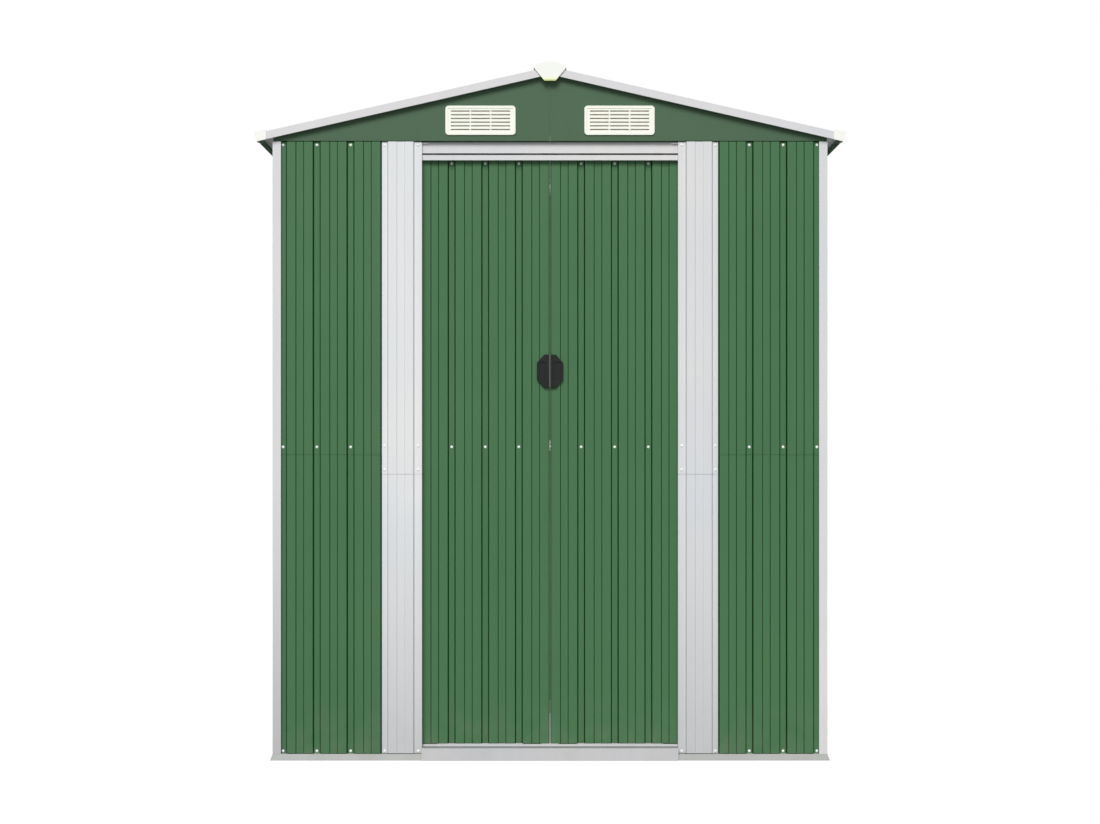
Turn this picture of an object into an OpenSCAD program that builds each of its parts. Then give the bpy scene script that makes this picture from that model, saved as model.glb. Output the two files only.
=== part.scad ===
// Metal storage shed: profiled steel sheets on a light folded frame, two sliding doors, low pitched roof.
// The origin is on the ground at the middle of the plan. The doors face -Y, and +Z is up.

/* [Overall] */
// Width across the outer faces of the corner posts
wall_w = 1804; // [1500:1:2400]
// Depth across the outer faces of the corner posts
wall_d = 1056; // [800:1:2600]
// Height of the front and rear wall sheets above the ground
wall_h = 2011.5; // [1700:0.5:2500]
// Pitch of the roof in degrees
roof_pitch = 12.84; // [10:0.01:20]
// Height of the roof's underside at the corner posts, above the wall sheets
gable_end_h = 31.5; // [28:0.5:80]
// Height of the open joint between the gables and the walls
gable_gap = 2; // [0:0.5:8]
// Reach of the roof past the side walls
eave_overhang = 46.5; // [30:0.5:120]
// Reach of the roof past the front and rear walls
verge_overhang = 20; // [15:1:120]

/* [Sheets] */
// Thickness of every profiled sheet
sheet_t = 1; // [0.6:0.1:1.5]
// Nominal distance between grooves
sheet_pitch = 110; // [90:1:140]
// Width of a groove between the middles of its flanks
groove_w = 22; // [18:0.5:28]
// Depth of a groove
groove_depth = 8; // [5:0.5:10]
// Width that each flank of a groove takes
groove_run = 4; // [3:0.5:5]
// Width of the shallow swage between two grooves
swage_w = 25; // [15:0.5:35]
// Depth of the shallow swage
swage_depth = 2; // [1:0.5:3]
// Width that each flank of a swage takes
swage_run = 3; // [2:0.5:5]
// Height of the lower edge of the upper sheets
lap_z = 993; // [800:1:1200]
// Height by which lower and upper sheets lap
lap_h = 50; // [45:1:100]

/* [Frame] */
// Thickness of the folded frame sections
frame_t = 1.5; // [1:0.1:2]
// Width of each face of a corner post
post_w = 27; // [20:0.5:40]
// Height of the wall rails
rail_h = 40; // [30:1:60]
// Depth of the wall rails
rail_depth = 18; // [12:1:30]
// Height of the upright web of the base rails
base_web_h = 45; // [42:1:90]
// Depth of the foot of the base rails, from the face of the posts
base_foot = 42; // [38:1:55]
// Height of the ledge that the posts stand on
base_ledge_z = 20; // [12:1:25]
// Distance that the skirt of the base rails spreads past the posts
skirt_flare = 7; // [3:0.5:9]
// Radius of the anchor holes in the side base rails
anchor_r = 4; // [3:0.5:6]
// Distance from the front and rear of the posts to the anchor holes
anchor_inset = 178; // [100:1:350]

/* [Doorway] */
// Clear width between the door jambs
door_open_w = 834; // [640:1:1010]
// Distance between the two grooves of a jamb sheet
jamb_pitch = 107; // [90:1:130]
// Distance from the edge of the doorway to the middle of the jamb's first groove
jamb_edge = 15; // [14:0.5:20]
// Height by which the upper jamb sheets reach below the upper wall sheets
jamb_lap_drop = 63; // [40:1:120]
// Height of the track's face
track_h = 35.5; // [25:0.5:50]
// Height of the track's lips above the lower edge of its face
track_lip_rise = 6; // [5:0.5:9]
// Height of the strip that covers the tops of the doors
head_strip_h = 16.5; // [12:0.5:30]
// Height of the slot between the strip and the track's face
head_strip_gap = 6; // [2:0.5:10]
// Depth of the strip
head_strip_depth = 12; // [6:0.5:13]
// Distance that the track's face and the strip stand behind the wall sheets
head_setback = 8; // [0:0.5:10]
// Height of the sill
sill_h = 41; // [30:1:48]
// Distance that the sill stands in front of the posts
sill_project = 14; // [12:0.5:25]
// Height of the upstand along the back of the sill
sill_upstand = 6; // [4:0.5:6]

/* [Doors] */
// Clearance between the front wall frame and the faces of the doors
door_clear = 7.5; // [6:0.5:12]
// Clearance between a door and the sill's upstand
sill_clear = 5.5; // [5:0.5:8]
// Gap between the closed doors
meeting_gap = 6; // [5:0.5:10]
// Distance that a closed door reaches behind its jamb
door_lap = 38; // [25:1:60]
// Distance from the meeting line to the middle of a door's first groove
door_groove = 102; // [60:1:110]
// Distance from the outer edge of a door to the middle of its last groove
door_groove_edge = 23; // [16:0.5:27]
// Height of the bare frame above a door's sheet
door_strip_h = 5; // [2:0.5:10]
// Clearance between the top of a door's frame and the track's lips
track_clear = 6; // [5:0.5:8]
// Width of the members of a door's frame
stile_w = 30; // [24:1:40]
// Height of the lower edge of the doors above the sill
door_foot_h = 7; // [6:0.5:10]
// Height of the middle of the handles
handle_z = 1266; // [900:1:1400]
// Height of a handle
handle_h = 108; // [80:1:140]
// Width of a handle
handle_w = 40; // [30:1:50]
// Distance that a handle stands out of its door
handle_proud = 10; // [6:0.5:14]

/* [Vents] */
// Width of a vent
vent_w = 228; // [150:1:240]
// Height of a vent
vent_h = 95; // [70:1:100]
// Distance from the middle of the gable to the middle of a vent
vent_x = 226; // [130:1:300]
// Height of the middle of the vents above the wall sheets
vent_rise = 68.5; // [56:0.5:80]
// Radius of the corners of a vent
vent_corner_r = 11; // [4:0.5:20]
// Height of one slot of a vent
slot_h = 3.8; // [2:0.1:3.8]
// Distance between rows of slots
slot_pitch = 12; // [9:0.5:12]
// Rows of slots in a vent
slot_rows = 6; // [3:1:6]
// Columns of slots in a vent
slot_columns = 3; // [2:1:4]
// Width of the bars between columns of slots
slot_bar = 5; // [3:0.5:8]
// Width of the plain border beside the slots
vent_border = 18; // [14:0.5:24]

/* [Roof trims] */
// Height of the verge trims, measured upright
verge_h = 25.5; // [20:0.5:40]
// Width of the verge trims where they lie on the roof
verge_flange = 30; // [15:1:34]
// Half of the width of the ridge cap
cap_half_w = 53; // [40:1:70]
// Height of the crown of the ridge cap over its edges
cap_rise = 18; // [15:0.5:30]
// Height by which the caps at the corners of the eaves stand over the verge trims
eave_cap_rise = 6; // [2:0.5:12]

/* [Hidden] */
$fn = 48;

// Gap between pieces that bear on each other
seat = 0.3;
// Land that every sheet keeps beside its last groove or swage
edge_land = 1;
// Land that a wall sheet keeps past the groove where a jamb sheet laps it
lap_land = 4;
// Distance of a post's edge inside the flank of its wall's first groove, and the depth of its lips
post_land = 5;
post_lip = groove_depth - 2;
corner_groove = post_w + groove_w / 2 - post_land;
// Distance that cutting shapes reach past what they cut
over = 1;

// Wall numbers, counted round from the front. A wall is drawn with x along it, y inwards from its face.
FRONT = 0;
RIGHT = 1;
REAR = 2;
LEFT = 3;

// Depths behind the face of the posts
upper_y = frame_t + seat;
lower_y = upper_y + sheet_t + seat;
upper_back_y = upper_y + groove_depth + sheet_t;
lower_back_y = lower_y + groove_depth + sheet_t;
top_rail_y = upper_back_y + seat;
head_y = top_rail_y + head_setback;
rail_y = lower_back_y + seat;
rail_back_y = rail_y + rail_depth;
door_y = rail_back_y + door_clear;
door_frame_y = door_y + groove_depth + sheet_t + seat;
door_mid_y = door_frame_y + rail_depth / 2;
corner_inset = lower_y + sheet_t + seat;

// Heights
sheet_foot_z = base_ledge_z + 2;
track_z = wall_h - track_h;
track_lip_z = track_z + track_lip_rise;
door_frame_top_z = track_lip_z - track_clear;
door_top_z = door_frame_top_z - door_strip_h;
door_foot_z = sill_h + door_foot_h;
sill_seat_z = sill_h - frame_t - seat;
rail_z = lap_z + lap_h / 2 - rail_h / 2;
jamb_lap_z = lap_z - jamb_lap_drop;
jamb_lower_top_z = lap_z - 8;
ridge_z = wall_h + gable_end_h + wall_w / 2 * tan(roof_pitch);

// Places along the front wall, measured from the middle
jamb_x = door_open_w / 2;
jamb_groove_x = jamb_x + jamb_edge;
jamb_lap_x = jamb_groove_x + jamb_pitch;
groove_floor = groove_w / 2 - groove_run / 2;
groove_reach = groove_w / 2 + groove_run / 2;
front_reach = wall_w / 2 - corner_groove - jamb_lap_x;
front_bays = max(1, round(front_reach / sheet_pitch));
rail_end = rail_back_y + seat;
top_rail_end = top_rail_y + rail_depth + seat;

// Doors
door_out_x = jamb_x + door_lap;
door_in_x = meeting_gap / 2;
glide_l = 60;
glide_half_y = 16;
glide_h = 15;
glide_neck = 3;
glide_inset = 25;
slot_half_y = glide_neck + 6;
track_back_y = door_mid_y + glide_half_y + 7;
guide_h = sill_h - frame_t;
shoe_half_y = 6;
shoe_play = 1;
shoe_foot_z = 16;

// Roof
roof_t = (groove_depth + sheet_t) / cos(roof_pitch);
verge_y = wall_d / 2 + verge_overhang;
eave_x = wall_w / 2 + eave_overhang;
verge_top = (sheet_t + frame_t) / cos(roof_pitch) + seat;
verge_lip = 8;
cap_foot_z = roof_z(cap_half_w) + roof_t + seat;
cap_r = (cap_half_w * cap_half_w + cap_rise * cap_rise) / (2 * cap_rise);
cap_axis_z = cap_foot_z + cap_rise - cap_r;
end_cap_t = 6;
end_cap_rim = 15;
end_cap_wall = 1.8;
end_cap_foot_w = 36;
end_cap_drop = 42;
eave_cap_w = 38;
eave_cap_t = 3;
eave_cap_side = 8.5;
beam_half_w = 20;
beam_h = 40;
purlin_h = 35;

// Vents
vent_t = 4;
vent_field = 1.2;
slot_w = (vent_w - 2 * vent_border - (slot_columns - 1) * slot_bar) / slot_columns;
vent_z = wall_h + vent_rise;

GREEN = [0.31, 0.45, 0.32];
DARK_GREEN = [0.28, 0.41, 0.30];
WHITE = [0.86, 0.86, 0.87];
CREAM = [0.94, 0.94, 0.88];
GREY = [0.62, 0.63, 0.64];
CHARCOAL = [0.17, 0.17, 0.18];
NYLON = [0.80, 0.80, 0.78];

// Height of the underside of the roof sheets above a place across the shed
function roof_z(x) = ridge_z - abs(x) * tan(roof_pitch);

// Length of a wall, and its half
function wall_span(wall) = wall == FRONT || wall == REAR ? wall_w : wall_d;
function half_depth(wall) = wall == FRONT || wall == REAR ? wall_d / 2 : wall_w / 2;

// Four points of a recess with sloping flanks, w wide between the middles of its flanks
function recess(c, w, run, depth) = [
    [c - w / 2 - run / 2, 0], [c - w / 2 + run / 2, depth],
    [c + w / 2 - run / 2, depth], [c + w / 2 + run / 2, 0]
];

// Whether such a recess fits between a and b
function recess_fits(c, w, run, a, b) =
    c - w / 2 - run / 2 > a + edge_land && c + w / 2 + run / 2 < b - edge_land;

function groove(c, a, b) =
    recess_fits(c, groove_w, groove_run, a, b) ? recess(c, groove_w, groove_run, groove_depth) : [];
function swage(c, a, b) =
    recess_fits(c, swage_w, swage_run, a, b) ? recess(c, swage_w, swage_run, swage_depth) : [];

// Face line of a sheet from a to b: grooves from first on, a pitch apart, with swages midway
function face_line(a, b, first, pitch, count) = concat(
    [[a, 0]],
    [for (i = [0:count], p = concat(swage(first + (i - 0.5) * pitch, a, b),
                                    i < count ? groove(first + i * pitch, a, b) : [])) p],
    [[b, 0]]
);

// Outline of a sheet of even thickness behind its face line
function sheet_outline(line) = concat(line, [for (i = [len(line) - 1:-1:0]) line[i] + [0, sheet_t]]);

// Face line of a whole wall's sheets, with its grooves set evenly between its corners
function wall_bays(span) = round((span - 2 * corner_groove) / sheet_pitch);
function wall_line(span) = face_line(
    corner_inset - span / 2, span / 2 - corner_inset, corner_groove - span / 2,
    (span - 2 * corner_groove) / wall_bays(span), wall_bays(span) + 1
);

// Face line of a jamb sheet, which begins and ends on the floor of a groove
jamb_line = concat(
    [[-jamb_lap_x - groove_floor + edge_land, groove_depth],
     [-jamb_lap_x + groove_floor, groove_depth], [-jamb_lap_x + groove_reach, 0]],
    recess(-(jamb_lap_x + jamb_groove_x) / 2, swage_w, swage_run, swage_depth),
    [[-jamb_groove_x - groove_reach, 0], [-jamb_groove_x - groove_floor, groove_depth],
     [-jamb_x, groove_depth]]
);

// Puts what is drawn as a front wall onto any wall
module on_wall(wall) rotate([0, 0, 90 * wall]) translate([0, -half_depth(wall), 0]) children();

// Extrudes an outline of y and z along x between two places
module along_x(x0, x1) translate([x0, 0, 0]) rotate([90, 0, 90]) linear_extrude(x1 - x0) children();

// Extrudes an outline of x and z along y between two places
module along_y(y0, y1) translate([0, y1, 0]) rotate([90, 0, 0]) linear_extrude(y1 - y0) children();

// Box between two opposite corners
module block(a, b) translate(a) cube(b - a);

// Rectangle between two opposite corners
module rect(a, b) translate(a) square(b - a);

// A sheet standing between two heights, with its face line y0 behind the posts
module standing_sheet(line, y0, z0, z1)
    translate([0, y0, z0]) linear_extrude(z1 - z0) polygon(sheet_outline(line));

// Lower and upper sheets that lap, the upper one outside
module lapped_sheets(line, top_z) {
    standing_sheet(line, lower_y, sheet_foot_z, lap_z + lap_h);
    standing_sheet(line, upper_y, lap_z, top_z);
}

// Channel section with its web towards the outside
module channel_section(y0, z0, depth, height) difference() {
    rect([y0, z0], [y0 + depth, z0 + height]);
    rect([y0 + frame_t, z0 + frame_t], [y0 + depth + over, z0 + height - frame_t]);
}

// Base rails: a sloping skirt, a ledge for posts and sheets, a web behind the sheets and a foot
module base_section() polygon([
    [-skirt_flare, 0], [frame_t - skirt_flare, 0], [frame_t, base_ledge_z - frame_t],
    [rail_y, base_ledge_z - frame_t], [rail_y, 0], [base_foot, 0], [base_foot, frame_t],
    [rail_y + frame_t, frame_t], [rail_y + frame_t, base_web_h], [rail_y, base_web_h],
    [rail_y, base_ledge_z], [0, base_ledge_z]
]);

// A base rail of one wall, mitred at both ends
module base_rail(wall) {
    half = wall_span(wall) / 2;
    out = skirt_flare + over;
    deep = base_foot + over;
    on_wall(wall) intersection() {
        along_x(-half - out, half + out) base_section();
        linear_extrude(base_web_h + over) polygon([
            [seat - half - out, -out], [half + out - seat, -out],
            [half - deep - seat, deep], [seat - half + deep, deep]
        ]);
    }
}

// Front base rail, cut down under the sill
module base_rail_front() color(WHITE) difference() {
    cut_x = jamb_x + sheet_t + seat;
    base_rail(FRONT);
    on_wall(FRONT) block([-cut_x, rail_y - over, sill_seat_z],
                         [cut_x, rail_y + frame_t + over, base_web_h + over]);
}

// Guide: an angle beside the front base rail, whose upright leg guides the feet of the doors
module door_guide() color(WHITE) {
    leg_y = door_mid_y - frame_t / 2;
    half = wall_w / 2 - door_mid_y - shoe_half_y;
    on_wall(FRONT) along_x(-half, half) {
        rect([base_foot + seat, 0], [leg_y + frame_t, frame_t]);
        rect([leg_y, 0], [leg_y + frame_t, guide_h]);
    }
}

// Side base rails with anchor holes in their feet
module side_base_rail(wall) color(WHITE) difference() {
    base_rail(wall);
    for (x = [anchor_inset - wall_d / 2, wall_d / 2 - anchor_inset])
        on_wall(wall) translate([x, (rail_y + frame_t + base_foot) / 2, -over])
            cylinder(h = frame_t + 2 * over, r = anchor_r);
}
module base_rail_right() side_base_rail(RIGHT);
module base_rail_left() side_base_rail(LEFT);
module base_rail_rear() color(WHITE) base_rail(REAR);

// Sill: a cover over the front base rail between the jambs, with an upstand before the doors
module door_sill() color(WHITE) {
    back_y = door_y - sill_clear;
    on_wall(FRONT) along_x(seat - jamb_x, jamb_x - seat) {
        rect([-sill_project, 0], [frame_t - sill_project, sill_h]);
        rect([-sill_project, sill_h - frame_t], [back_y, sill_h]);
        rect([back_y - frame_t, sill_h - frame_t], [back_y, sill_h + sill_upstand]);
    }
}

// Corner post: two faces, each with a lip that drops into the first groove of its wall
module corner_post(corner) color(WHITE) rotate([0, 0, 90 * corner])
    translate([-half_depth((corner + 1) % 4), -half_depth(corner), base_ledge_z + seat])
        linear_extrude(wall_h - base_ledge_z - seat) {
            square([post_w, frame_t]);
            square([frame_t, post_w]);
            translate([post_w - frame_t, 0]) square([frame_t, post_lip]);
            translate([0, post_w - frame_t]) square([post_lip, frame_t]);
        }
module corner_post_front_left() corner_post(FRONT);
module corner_post_front_right() corner_post(RIGHT);
module corner_post_rear_right() corner_post(REAR);
module corner_post_rear_left() corner_post(LEFT);

// Rails at half height, behind the laps of the sheets
module mid_rail(wall, x0, x1) color(WHITE)
    on_wall(wall) along_x(x0, x1) channel_section(rail_y, rail_z, rail_depth, rail_h);
module mid_rails_front() {
    out_x = wall_w / 2 - rail_end;
    in_x = jamb_x + sheet_t + seat;
    mid_rail(FRONT, -out_x, -in_x);
    mid_rail(FRONT, in_x, out_x);
}
module side_mid_rail(wall) mid_rail(wall, rail_y - wall_d / 2, wall_d / 2 - rail_y);
module mid_rail_right() side_mid_rail(RIGHT);
module mid_rail_left() side_mid_rail(LEFT);
module mid_rail_rear() mid_rail(REAR, rail_end - wall_w / 2, wall_w / 2 - rail_end);

// Bar across the front between the side walls' top rails, from y0 and z0 to y1 and z1
module head_bar(y0, z0, y1, z1) color(WHITE)
    on_wall(FRONT) along_x(top_rail_end - wall_w / 2, wall_w / 2 - top_rail_end) rect([y0, z0], [y1, z1]);

// Track behind its face: a top plate, a back plate and two lips with a slot between them
module door_track() {
    in_y = head_y + frame_t + seat;
    back_y = track_back_y - frame_t;
    lip_top_z = track_lip_z + frame_t;
    head_bar(in_y, wall_h - frame_t, back_y - seat, wall_h);
    head_bar(back_y, track_lip_z, track_back_y, wall_h);
    head_bar(in_y, track_lip_z, door_mid_y - slot_half_y, lip_top_z);
    head_bar(door_mid_y + slot_half_y, track_lip_z, back_y - seat, lip_top_z);
}
module track_face() head_bar(head_y, track_z, head_y + frame_t, wall_h);

// Strip under the track's face, between the jambs, that covers the tops of the doors
module door_head_strip() color(WHITE) on_wall(FRONT) along_x(seat - jamb_x, jamb_x - seat)
    channel_section(head_y, track_z - head_strip_gap - head_strip_h, head_strip_depth, head_strip_h);

// Rails along the tops of the other walls; the side ones reach up to the roof sheets
module side_top_rail(wall) color(WHITE) {
    foot_z = wall_h - rail_h;
    height = roof_z(wall_w / 2 - top_rail_y) - seat - foot_z;
    on_wall(wall) along_x(top_rail_y - wall_d / 2, wall_d / 2 - top_rail_y)
        channel_section(top_rail_y, foot_z, rail_depth, height);
}
module top_rail_right() side_top_rail(RIGHT);
module top_rail_left() side_top_rail(LEFT);
module top_rail_rear() color(WHITE)
    on_wall(REAR) along_x(top_rail_end - wall_w / 2, wall_w / 2 - top_rail_end)
        channel_section(top_rail_y, wall_h - rail_h, rail_depth, rail_h);

// Front wall sheets beside the doorway
module front_wall_left() color(GREEN) on_wall(FRONT) lapped_sheets(
    face_line(corner_inset - wall_w / 2, groove_reach + lap_land - jamb_lap_x,
              corner_groove - wall_w / 2, front_reach / front_bays, front_bays + 1), wall_h);
module front_wall_right() mirror([1, 0, 0]) front_wall_left();

// Jamb sheets, over the wall sheets, folded back along the doorway
module door_jamb_left() color(WHITE) on_wall(FRONT) {
    fold_low_z = sill_seat_z + seat;
    fold_y = upper_y + groove_depth;
    standing_sheet(jamb_line, upper_y, sheet_foot_z, jamb_lower_top_z);
    block([-jamb_x - sheet_t, fold_y, fold_low_z], [-jamb_x, rail_back_y, jamb_lap_z - 5]);
    standing_sheet(jamb_line, upper_y - sheet_t - seat, jamb_lap_z, wall_h);
    block([-jamb_x - sheet_t, fold_y - sheet_t, jamb_lap_z], [-jamb_x, rail_back_y, track_z - seat]);
}
module door_jamb_right() mirror([1, 0, 0]) door_jamb_left();

// Side and rear wall sheets
side_top_z = roof_z(wall_w / 2) - 2;
module right_wall() color(GREEN) on_wall(RIGHT) lapped_sheets(wall_line(wall_d), side_top_z);
module left_wall() color(GREEN) on_wall(LEFT) lapped_sheets(wall_line(wall_d), side_top_z);
module rear_wall() color(GREEN) on_wall(REAR) lapped_sheets(wall_line(wall_w), wall_h);

// Left half of a gable: a flat sheet with a hole behind the vent, and a flange whose leg stands on the rail
module gable_half(wall) color(DARK_GREEN) on_wall(wall) {
    out_x = wall_w / 2 - corner_inset;
    in_x = seat / 2;
    foot_z = wall_h + seat + gable_gap;
    leg_y = top_rail_y + rail_depth;
    hole = [vent_w / 2 - vent_border + over, (slot_rows - 1) * slot_pitch / 2 + slot_h];
    along_y(upper_y, upper_y + sheet_t) difference() {
        polygon([[-out_x, foot_z], [-in_x, foot_z], [-in_x, roof_z(in_x) - seat],
                 [-out_x, roof_z(out_x) - seat]]);
        translate([-vent_x, vent_z]) rect(-hole, hole);
    }
    block([top_rail_end - wall_w / 2, upper_y, foot_z], [-in_x, leg_y, foot_z + sheet_t]);
    block([top_rail_end - wall_w / 2, leg_y - sheet_t, wall_h + seat], [-in_x, leg_y, foot_z + sheet_t]);
}
module gable_front_left() gable_half(FRONT);
module gable_front_right() mirror([1, 0, 0]) gable_half(FRONT);
module gable_rear_right() gable_half(REAR);
module gable_rear_left() mirror([1, 0, 0]) gable_half(REAR);

// Vent plate with rounded corners, a shallow field and rows of slots
module vent_outline() {
    half = [vent_w / 2, vent_h / 2];
    core = half - [vent_corner_r, vent_corner_r];
    rect([-half.x, -core.y], [half.x, core.y]);
    rect([-core.x, -half.y], [core.x, half.y]);
    for (x = [-core.x, core.x], z = [-core.y, core.y]) translate([x, z]) circle(r = vent_corner_r);
}
module vent(x) translate([x, 0, vent_z]) {
    face_y = upper_y - seat - vent_t;
    field = [vent_w / 2 - vent_border / 2, vent_h / 2 - vent_border / 2];
    difference() {
        along_y(face_y, face_y + vent_t) vent_outline();
        along_y(face_y - over, face_y + vent_field) rect(-field, field);
        along_y(face_y - over, face_y + vent_t + over)
            for (row = [0:slot_rows - 1], column = [0:slot_columns - 1])
                translate([(column - (slot_columns - 1) / 2) * (slot_w + slot_bar),
                           (row - (slot_rows - 1) / 2) * slot_pitch])
                    square([slot_w, slot_h], center = true);
    }
}
module vents(wall) color(CREAM) on_wall(wall) for (x = [-vent_x, vent_x]) vent(x);
module vents_front() vents(FRONT);
module vents_rear() vents(REAR);

// Ridge beam under the peak of the roof, from gable to gable
module ridge_beam() color(GREY) {
    end_y = wall_d / 2 - upper_y - sheet_t - seat;
    in_w = beam_half_w - frame_t;
    shoulder_z = roof_z(beam_half_w) - seat;
    foot_z = shoulder_z - beam_h;
    peak_t = frame_t / cos(roof_pitch);
    along_y(-end_y, end_y) polygon([
        [-beam_half_w, foot_z], [-beam_half_w, shoulder_z], [0, ridge_z - seat],
        [beam_half_w, shoulder_z], [beam_half_w, foot_z], [in_w, foot_z],
        [in_w, roof_z(in_w) - seat - peak_t], [0, ridge_z - seat - peak_t],
        [-in_w, roof_z(in_w) - seat - peak_t], [-in_w, foot_z]
    ]);
}

// Puts what is drawn down a slope from the ridge onto the right (0) or left (1) side of the roof
module on_slope(side)
    rotate([0, 0, 180 * side]) translate([0, 0, ridge_z]) rotate([0, roof_pitch, 0]) children();

// Purlins halfway down the slopes
module purlins() color(GREY) for (side = [0, 1]) on_slope(side) {
    end_y = wall_d / 2 - upper_y - sheet_t - seat;
    x = wall_w / 4 / cos(roof_pitch);
    difference() {
        block([x, -end_y, -seat - purlin_h], [x + rail_depth, end_y, -seat]);
        block([x + frame_t, -end_y - over, frame_t - seat - purlin_h],
              [x + rail_depth + over, end_y + over, -seat - frame_t]);
    }
}

// Roof sheets, with ribs that run down the slope over the grooves of the side walls
module roof_sheet(side) color(GREEN) on_slope(side) {
    span = 2 * (verge_y - frame_t - seat);
    bays = wall_bays(wall_d);
    end_x = (eave_x - frame_t - seat) / cos(roof_pitch) - (groove_depth + sheet_t) * tan(roof_pitch);
    ribbed = wall_d / 2 - corner_groove + groove_reach + lap_land;
    ribs = face_line(-ribbed, ribbed, corner_groove - wall_d / 2,
                     (wall_d - 2 * corner_groove) / bays, bays + 1);
    along_x(seat, end_x) polygon(sheet_outline(concat([[-span / 2, 0]], ribs, [[span / 2, 0]])));
}
module roof_right() roof_sheet(0);
module roof_left() roof_sheet(1);

// Outline between the ridge cap's axis circle and a circle t outside it, over the cap's width
module cap_ring(r, t) intersection() {
    translate([0, cap_axis_z]) difference() {
        circle(r = r + t);
        circle(r = r);
    }
    rect([-cap_half_w, cap_foot_z], [cap_half_w, cap_foot_z + 2 * cap_rise]);
}
module ridge_cap() color(WHITE) along_y(-verge_y, verge_y) cap_ring(cap_r, frame_t);

// Caps that close the ends of the ridge
module ridge_end_caps() color(CREAM) for (turn = [0, 180]) rotate([0, 0, turn]) {
    plate_y = -verge_y - seat;
    rim_r = cap_r + frame_t + seat;
    foot_z = cap_foot_z - end_cap_drop;
    along_y(plate_y - end_cap_t, plate_y) {
        intersection() {
            translate([0, cap_axis_z]) circle(r = rim_r + end_cap_wall);
            rect([-cap_half_w, cap_foot_z], [cap_half_w, cap_foot_z + 2 * cap_rise]);
        }
        polygon([[-cap_half_w, cap_foot_z + over], [cap_half_w, cap_foot_z + over],
                 [end_cap_foot_w / 2, foot_z], [-end_cap_foot_w / 2, foot_z]]);
    }
    along_y(plate_y - over, plate_y + end_cap_rim) cap_ring(rim_r, end_cap_wall);
}

// Verge trims: a face over the ends of the roof sheets, a flange on them and a lip below
module slope_strip(x0, x1, rise, height) polygon([
    [x0, roof_z(x0) + rise], [x1, roof_z(x1) + rise],
    [x1, roof_z(x1) + rise - height], [x0, roof_z(x0) + rise - height]
]);
module verge_trim() {
    in_x = seat / 2;
    lip_x = eave_x - frame_t - seat;
    flange_t = frame_t / cos(roof_pitch);
    along_y(-verge_y, frame_t - verge_y) slope_strip(in_x, eave_x, verge_top, verge_h);
    along_y(-verge_y, verge_flange - verge_y) slope_strip(in_x, lip_x, verge_top, flange_t);
    along_y(-verge_y, verge_lip - verge_y) slope_strip(in_x, lip_x, verge_top - verge_h + flange_t, flange_t);
}
module verge_trims(turn) color(WHITE) rotate([0, 0, turn]) {
    verge_trim();
    mirror([1, 0, 0]) verge_trim();
}
module verge_trims_front() verge_trims(0);
module verge_trims_rear() verge_trims(180);

// Eave trims: a face over the lower ends of the roof sheets and a flange below them
module eave_trims() color(WHITE) for (turn = [0, 180]) rotate([0, 0, turn]) {
    end_y = verge_y - frame_t - seat;
    in_x = wall_w / 2 + 3;
    face_top_z = roof_z(eave_x) + roof_t;
    face_foot_z = roof_z(eave_x) + verge_top - verge_h;
    flange_t = frame_t / cos(roof_pitch);
    along_y(-end_y, end_y) {
        rect([eave_x - frame_t, face_foot_z], [eave_x, face_top_z]);
        slope_strip(in_x, eave_x - frame_t / 2, -seat, flange_t);
    }
}

// Caps over the four corners of the eaves, cut square to the slope at their outer ends
module eave_cap() {
    out_x = eave_x + seat + eave_cap_side;
    out_y = verge_y + seat + eave_cap_t;
    top = verge_top + eave_cap_rise;
    height = verge_h + eave_cap_rise + over;
    skew = height * sin(roof_pitch) * cos(roof_pitch);
    foot_x = out_x - skew;
    module section(in_x) polygon([
        [in_x, roof_z(in_x) + top - height], [in_x, roof_z(in_x) + top],
        [out_x, roof_z(out_x) + top], [foot_x, roof_z(foot_x) + top - height]
    ]);
    along_y(-out_y, eave_cap_t - out_y) section(out_x - eave_cap_w);
    along_y(-out_y, eave_cap_w - out_y) section(eave_x + seat);
}
module eave_caps() color(CREAM) for (x_side = [0, 1], y_side = [0, 1])
    mirror([x_side, 0, 0]) mirror([0, y_side, 0]) eave_cap();

// Left door, drawn closed; the right door mirrors it
module door_left_sheet() color(GREEN) on_wall(FRONT) {
    reach = door_out_x - door_groove_edge - door_groove;
    bays = max(1, round(reach / sheet_pitch));
    line = face_line(-door_out_x, -door_in_x, door_groove_edge - door_out_x, reach / bays, bays + 1);
    standing_sheet(line, door_y, door_foot_z, door_top_z);
}
module door_left_frame() color(WHITE) on_wall(FRONT) {
    in_out_x = door_out_x - stile_w;
    in_in_x = door_in_x + stile_w;
    for (x = [-door_out_x, -in_in_x]) difference() {
        block([x, door_frame_y, door_foot_z], [x + stile_w, door_frame_y + rail_depth, door_frame_top_z]);
        block([x + frame_t, door_frame_y + frame_t, door_foot_z + frame_t],
              [x + stile_w - frame_t, door_frame_y + rail_depth + over, door_frame_top_z - frame_t]);
    }
    for (z = [door_foot_z, rail_z, door_frame_top_z - rail_h])
        along_x(seat - in_out_x, -in_in_x - seat) channel_section(door_frame_y, z, rail_depth, rail_h);
}

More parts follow.
